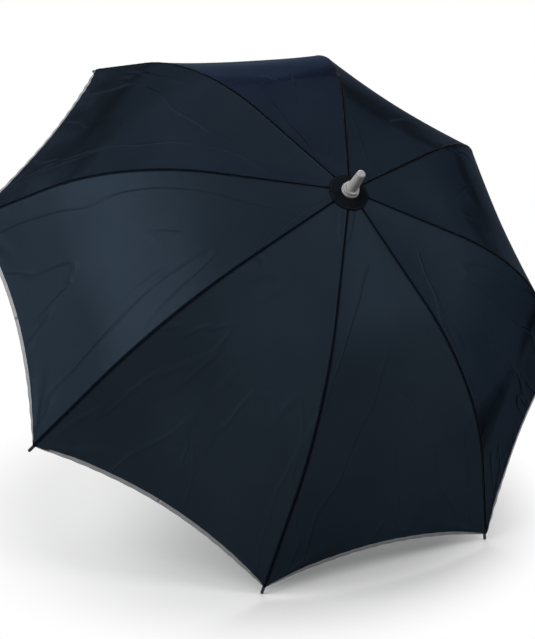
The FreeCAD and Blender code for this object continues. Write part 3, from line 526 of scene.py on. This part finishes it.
dark_thread = thread_finish("dark_thread", (0.003, 0.004, 0.007), (0.009, 0.012, 0.018))
pale_thread = thread_finish("pale_thread", (0.15, 0.15, 0.16), (0.26, 0.26, 0.27))
seam_run = np.linspace(0.024, rib_length - 0.008, 240)
seam_width, seam_kept = 0.0034, 0.35
hem_sewn, over_tape, under_tape = 0.0044, 0.00042, -0.00076
for number in range(1, RIBS + 1):
    chord = 2 * sin(GORE / 2) * above_rib(seam_run, 0)[0]
    lines = [to_row(number, cloth_shape(number, seam_run, side * seam_width / 2 / chord, 0.00008))
             for side in (-1, 1)]
    seam = sew(f"seam_stitches_{number}", lines, dark_thread, pitch=0.0032, length=0.0023, thread=0.0004)
    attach(seam, f"rib_{number}_arm")
    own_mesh(seam)
    inward = np.full((len(hem_steps), 1), hem_sewn)
    lines = [hem_line(number, side, inward, off)[:, 0] for side in (-1, 1) for off in (over_tape, under_tape)]
    hem = sew(f"hem_stitches_{number}", lines, pale_thread, pitch=0.003, length=0.0021, thread=0.00035)
    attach(hem, f"rib_{number}_arm")
    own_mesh(hem)

# ---------------------------------------------------------------- ties
# Black thread that holds the cloth to the frame: loops round each rib, and turns round the cap at
# its end, each sewn through the seam. They are wound by hand.


def wound(name, lines, radius):
    """A mesh of round threads along closed or open lines of points."""
    curve = bpy.data.curves.new(name, "CURVE")
    curve.dimensions, curve.use_fill_caps = "3D", True
    curve.bevel_depth, curve.bevel_resolution = radius, 2
    for line in lines:
        strand = curve.splines.new("POLY")
        strand.points.add(len(line) - 1)
        strand.points.foreach_set("co", np.column_stack([line, np.ones(len(line))]).ravel())
    guide = new_object(name + "_line", curve)
    mesh = bpy.data.meshes.new_from_object(guide.evaluated_get(bpy.context.evaluated_depsgraph_get()))
    mesh.name = name
    mesh.shade_smooth()
    bpy.data.objects.remove(guide)
    return mesh


def beside_rib(number, along, across, high):
    """Points at a distance across a rib and above its middle line."""
    out, up, lean = above_rib(along, high)
    return to_row(number, np.stack([out, np.broadcast_to(across, out.shape), up], -1))


tie_places, tie_thread, cap_round = (0.115, 0.2405, 0.425), 0.00022, 0.00265
for number in range(1, RIBS + 1):
    lines = []
    # three turns round the rib at each place
    for place in tie_places:
        round_it = np.linspace(0, 6 * pi, 55)
        along = place + np.linspace(-0.0009, 0.0009, 55)
        lines.append(beside_rib(number, along, 0.0021 * np.sin(round_it), 0.0005 + 0.0022 * np.cos(round_it)))
    # four turns round the cap, and a bar of thread from it into the seam's hem on each side
    round_it = np.linspace(0, 8 * pi, 73)
    along = rib_length - 0.0035 + np.linspace(0, 0.0022, 73)
    lines.append(beside_rib(number, along, cap_round * np.sin(round_it), cap_round * np.cos(round_it)))
    for side in (-1, 1):
        reach = np.linspace(0, 1, 9)
        lines.append(beside_rib(number, rib_length - 0.0024 - 0.006 * reach, side * (0.0006 + 0.0022 * reach),
                                0.0028 + 0.0009 * np.sin(pi * reach) + 0.0002 * reach))
    mesh = wound(f"cloth_ties_{number}", lines, tie_thread)
    mesh.materials.append(dark_thread)
    ties = new_object(mesh.name, mesh)
    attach(ties, f"rib_{number}_arm")

# ---------------------------------------------------------------- rosette
# A round patch of black cloth over board that covers the middle of the canopy. It is gathered round
# the shaft in small pleats, dips a little between the ribs and has a turned and sewn rim.

rosette_top, rosette_flat, rosette_rim, rosette_fall, board = 0.0051, 0.0152, 0.0303, 0.0038, 0.0008
rosette_bore, rosette_sewn, rosette_steps = 0.00706, 0.0280, 192
rosette_run = np.concatenate([np.linspace(rosette_bore, rosette_flat, 5), np.linspace(0.0165, 0.0272, 9),
                              [0.0278, 0.0284, 0.0290, 0.0296, 0.0300, rosette_rim]])


def rosette_height(radius, angle):
    slope = np.clip((radius - rosette_flat) / (0.030 - rosette_flat), 0, 1.03)
    rim = np.clip((radius - 0.0276) / 0.0006, 0, 1) * 0.00022
    pleat = 0.00018 * np.sin(24 * angle + 0.6 * np.sin(3 * angle)) * np.clip((radius - 0.011) / 0.010, 0, 1)
    dip = 0.00045 * np.sin(RIBS / 2 * angle) ** 2 * slope**2
    return rosette_top - rosette_fall * slope + rim + pleat * (1 - 0.6 * slope) - dip


angle = np.linspace(0, 2 * pi, rosette_steps, endpoint=False)[:, None]
high = np.stack([rosette_height(radius, angle[:, 0]) for radius in rosette_run], 1)
edge = rosette_run * (1 + 0.004 * np.sin(5 * angle) * (rosette_run > 0.027))
top = np.stack([edge * np.cos(angle), edge * np.sin(angle), high], -1)
under = top[:, ::-1] - np.array([0, 0, board])
mesh = loft("rosette_cloth", to_row(1, np.concatenate([top, under], axis=1)), closed=True)
run = np.concatenate([rosette_run, rosette_run[::-1]])
chart_rings(mesh, run * np.cos(angle), run * np.sin(angle))
black_cloth, tree, shader = new_finish("black_cloth", Specular_IOR_Level=0.0, Sheen_Weight=0.0)
weave(tree, shader, 0.0004, 0.0001, 0.7)
fade = noise(tree, 160.0)
tint(tree, shader, fade, (0.0075, 0.0095, 0.0125), (0.0115, 0.0140, 0.0180))
vary(tree, fade, shader.inputs["Roughness"], 0.7, 0.85)
mesh.materials.append(black_cloth)
rosette = new_object("rosette_cloth", mesh)
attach(rosette, "shaft")
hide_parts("rosette")
ring = np.linspace(0, 2 * pi, 121)
line = np.stack([rosette_sewn * np.cos(ring), rosette_sewn * np.sin(ring),
                 rosette_height(rosette_sewn, ring) + 0.00008], -1)
rim = sew("rosette_stitches", [to_row(1, line)], dark_thread, pitch=0.0027, length=0.0019, thread=0.00036)
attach(rim, "shaft")

# ---------------------------------------------------------------- ferrule and its collar
# A tapered ferrule and the stepped collar under it, both moulded in light grey plastic with a fine
# satin grain and slightly cloudy in colour. Both are pushed on the end of the shaft.


def in_shaft(tree):
    """Coordinates with z along the shaft and the hub at zero."""
    up = stand_on(1)[:, 2]
    lean = float(np.arctan2(-up[1], up[2]))
    place = put(tree, "ShaderNodeTexCoord")
    return put(tree, "ShaderNodeMapping", {"Vector": place.outputs["Object"], "Location": tuple(hub),
                                           "Rotation": (lean, 0, 0)}, vector_type="TEXTURE").outputs[0]


def soft_edges(tree, shader, height, depth, radius, strength=0.5):
    """A grain as bump over edges that are rounded by a small radius."""
    round_over = put(tree, "ShaderNodeBevel", {"Radius": radius}, samples=4)
    grain = put(tree, "ShaderNodeBump", {"Height": height, "Distance": depth, "Strength": strength,
                                         "Normal": round_over.outputs[0]})
    tree.links.new(grain.outputs[0], shader.inputs["Normal"])


def finish_nodes(finish, *names):
    for name in names:
        frame["nodes"][name].data.materials[0] = finish


pale_plastic, tree, shader = new_finish("pale_plastic", Specular_IOR_Level=0.45)
cloud = noise(tree, 45.0, 5.0)
tint(tree, shader, cloud, (0.43, 0.43, 0.42), (0.55, 0.55, 0.54))
vary(tree, noise(tree, 300.0), shader.inputs["Roughness"], 0.38, 0.52)
soft_edges(tree, shader, noise(tree, 2200.0, 2.0), 0.00004, 0.0003)
finish_nodes(pale_plastic, "ferrule", "ferrule_collar")

# ---------------------------------------------------------------- rib tips
# A glossy black cap pressed on the end of each rib. Handling has left faint hazy patches on it.

black_gloss, tree, shader = new_finish("black_gloss", Specular_IOR_Level=0.35)
haze = noise(tree, 240.0, 4.0)
tint(tree, shader, haze, (0.0025, 0.0025, 0.003), (0.007, 0.007, 0.0075))
vary(tree, haze, shader.inputs["Roughness"], 0.16, 0.34)
soft_edges(tree, shader, noise(tree, 1500.0, 2.0), 0.00002, 0.0002, 0.3)
for number in range(1, RIBS + 1):
    finish_nodes(black_gloss, f"rib_tip_{number}")

# ---------------------------------------------------------------- ribs, stretchers and their joints
# Ribs and stretchers are rolled steel channels under semi-gloss black paint. The clips between them
# are black-plated steel, riveted.

black_paint, tree, shader = new_finish("black_paint", Specular_IOR_Level=0.5)
cloud = noise(tree, 70.0, 5.0)
tint(tree, shader, cloud, (0.010, 0.010, 0.011), (0.024, 0.024, 0.026))
vary(tree, noise(tree, 180.0), shader.inputs["Roughness"], 0.28, 0.48)
soft_edges(tree, shader, noise(tree, 1100.0, 2.0), 0.00003, 0.00015, 0.4)
plated_steel, tree, shader = new_finish("plated_steel", Metallic=1.0)
cloud = noise(tree, 420.0, 4.0)
tint(tree, shader, cloud, (0.07, 0.07, 0.075), (0.17, 0.17, 0.18))
vary(tree, cloud, shader.inputs["Roughness"], 0.3, 0.48)
soft_edges(tree, shader, noise(tree, 2400.0, 2.0), 0.00002, 0.00012, 0.4)
for number in range(1, RIBS + 1):
    finish_nodes(black_paint, f"rib_{number}", f"stretcher_{number}")
    finish_nodes(plated_steel, f"rib_joint_{number}")

# ---------------------------------------------------------------- shaft, wires and springs
# The shaft is a steel tube in gloss black paint, rubbed along its length by the runner. Pins, wires
# and springs are bright drawn steel with fine lines.

shaft_paint, tree, shader = new_finish("shaft_paint", Specular_IOR_Level=0.5, Coat_Weight=0.2,
                                       Coat_Roughness=0.15)
rub = noise(tree, 1.0, 5.0, in_shaft(tree), (900, 900, 14))
tint(tree, shader, rub, (0.010, 0.010, 0.011), (0.030, 0.030, 0.032))
vary(tree, rub, shader.inputs["Roughness"], 0.16, 0.36)
soft_edges(tree, shader, rub, 0.00002, 0.0002, 0.4)
finish_nodes(shaft_paint, "shaft_tube")
drawn_steel, tree, shader = new_finish("drawn_steel", Metallic=1.0)
line = noise(tree, 1400.0, 3.0, stretch=(1, 1, 0.3))
tint(tree, shader, line, (0.42, 0.42, 0.43), (0.62, 0.62, 0.63))
vary(tree, line, shader.inputs["Roughness"], 0.2, 0.38)
soft_edges(tree, shader, line, 0.00001, 0.0001, 0.3)
finish_nodes(drawn_steel, "notch_wire", "runner_wire", "runner_stop", "cross_pin")

# ---------------------------------------------------------------- springs
# Coils of spring wire. The long one in the shaft pushes the runner up and the small one pushes the button
# out.


def wire_coil(node, axis):
    """A copy of the coil in drawn steel, carried by the shaft in place of the original; the axis is not used.
    """
    mesh = frame["nodes"][node].data.copy()
    merged = bmesh.new()
    merged.from_mesh(mesh)
    bmesh.ops.remove_doubles(merged, verts=merged.verts, dist=1e-6)
    merged.to_mesh(mesh)
    merged.free()
    mesh.materials.clear()
    mesh.materials.append(drawn_steel)
    coil = new_object(f"{node}_wire", mesh)
    axis = Vector(axis).normalized()
    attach(coil, "shaft")
    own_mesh(coil)
    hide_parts(node)


press, close = joints["button_press"], joints["rib_1_fold"]
wire_coil("button_spring", press["axis"])
up_shaft = Vector(stand_on(1)[:, 2])
wire_coil("opening_spring", -up_shaft)

# ---------------------------------------------------------------- top notch, runner and plugs
# The notch that holds the ribs, the runner that carries the stretchers, its pusher and the spring's
# seat are hard black plastic with a fine matt grain from their moulds.

black_plastic, tree, shader = new_finish("black_plastic", Specular_IOR_Level=0.4)
cloud = noise(tree, 90.0, 4.0)
tint(tree, shader, cloud, (0.011, 0.011, 0.011), (0.022, 0.022, 0.022))
vary(tree, cloud, shader.inputs["Roughness"], 0.44, 0.62)
soft_edges(tree, shader, noise(tree, 1900.0, 2.0), 0.00005, 0.0002, 0.5)
finish_nodes(black_plastic, "top_notch", "runner", "pusher", "spring_seat")

# ---------------------------------------------------------------- handle and release button
# The grip is soft black rubber with a fine diamond knurl between plain glossy trims. The button is
# grey plastic with a satin polish.

knurls_round, knurls_down = 36.0, 2400.0
grip_rubber, tree, shader = new_finish("grip_rubber", Specular_IOR_Level=0.3, Sheen_Weight=0.05)
spot = put(tree, "ShaderNodeSeparateXYZ", {"Vector": in_shaft(tree)})
round_it = put(tree, "ShaderNodeMath", {0: spot.outputs["Y"], 1: spot.outputs["X"]}, operation="ARCTAN2")
round_it = put(tree, "ShaderNodeMath", {0: round_it.outputs[0], 1: knurls_round}, operation="MULTIPLY")
down = put(tree, "ShaderNodeMath", {0: spot.outputs["Z"], 1: knurls_down}, operation="MULTIPLY")
cuts = []
for operation in ("ADD", "SUBTRACT"):
    slant = put(tree, "ShaderNodeMath", {0: down.outputs[0], 1: round_it.outputs[0]}, operation=operation)
    cuts.append(put(tree, "ShaderNodeMath", {0: slant.outputs[0]}, operation="SINE").outputs[0])
knurl = put(tree, "ShaderNodeMath", {0: cuts[0], 1: cuts[1]}, operation="MAXIMUM")
soft_edges(tree, shader, knurl.outputs[0], 0.00018, 0.0003, 0.8)
cloud = noise(tree, 60.0, 5.0)
tint(tree, shader, cloud, (0.011, 0.011, 0.011), (0.021, 0.021, 0.020))
vary(tree, cloud, shader.inputs["Roughness"], 0.58, 0.76)
finish_nodes(grip_rubber, "handle_grip")
finish_nodes(black_gloss, "handle_collar", "handle_end_cap")
grey_plastic, tree, shader = new_finish("grey_plastic", Specular_IOR_Level=0.5)
rub = noise(tree, 260.0, 3.0)
tint(tree, shader, rub, (0.20, 0.20, 0.205), (0.28, 0.28, 0.285))
vary(tree, rub, shader.inputs["Roughness"], 0.26, 0.42)
soft_edges(tree, shader, noise(tree, 2000.0, 2.0), 0.00003, 0.0002, 0.4)
finish_nodes(grey_plastic, "release_button")
